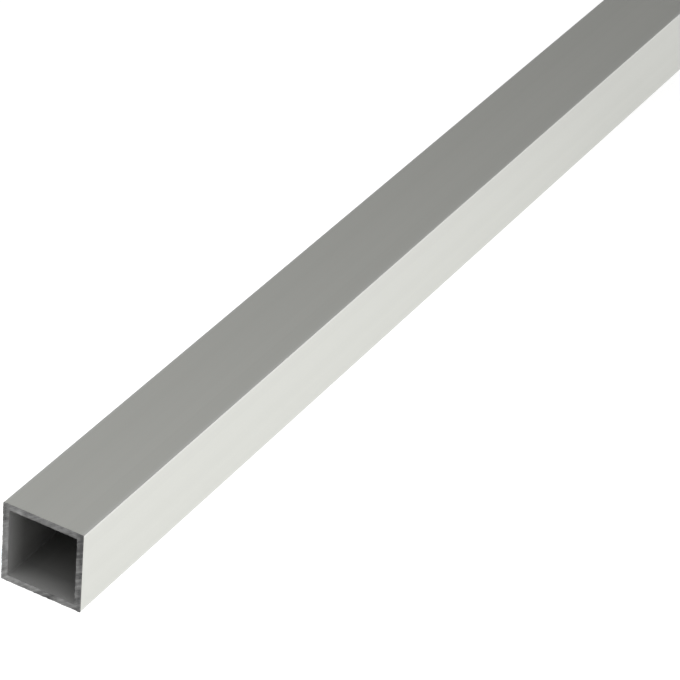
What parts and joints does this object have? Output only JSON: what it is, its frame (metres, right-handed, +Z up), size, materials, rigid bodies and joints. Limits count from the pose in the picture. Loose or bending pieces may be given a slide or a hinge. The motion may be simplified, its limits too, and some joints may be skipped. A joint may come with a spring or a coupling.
{
  "type": "square metal tube",
  "caption": "Length of square aluminium tube with even walls and open, square-sawn ends, used as framing stock.",
  "frame": {"origin": "middle of the underside, half way along the tube", "axes": "+X along the tube's length, +Y across its width, +Z up from the face that it lies on"},
  "size_m": [1, 0.02, 0.02],
  "materials": {
    "anodised_aluminium": "satin silver anodised, with faint lines along the tube from the die",
    "sawn_aluminium": "bare metal of the two ends, dull and scored by the saw"
  },
  "bodies": {
    "root": {"square_tube": "anodised_aluminium"}
  },
  "joints": []
}
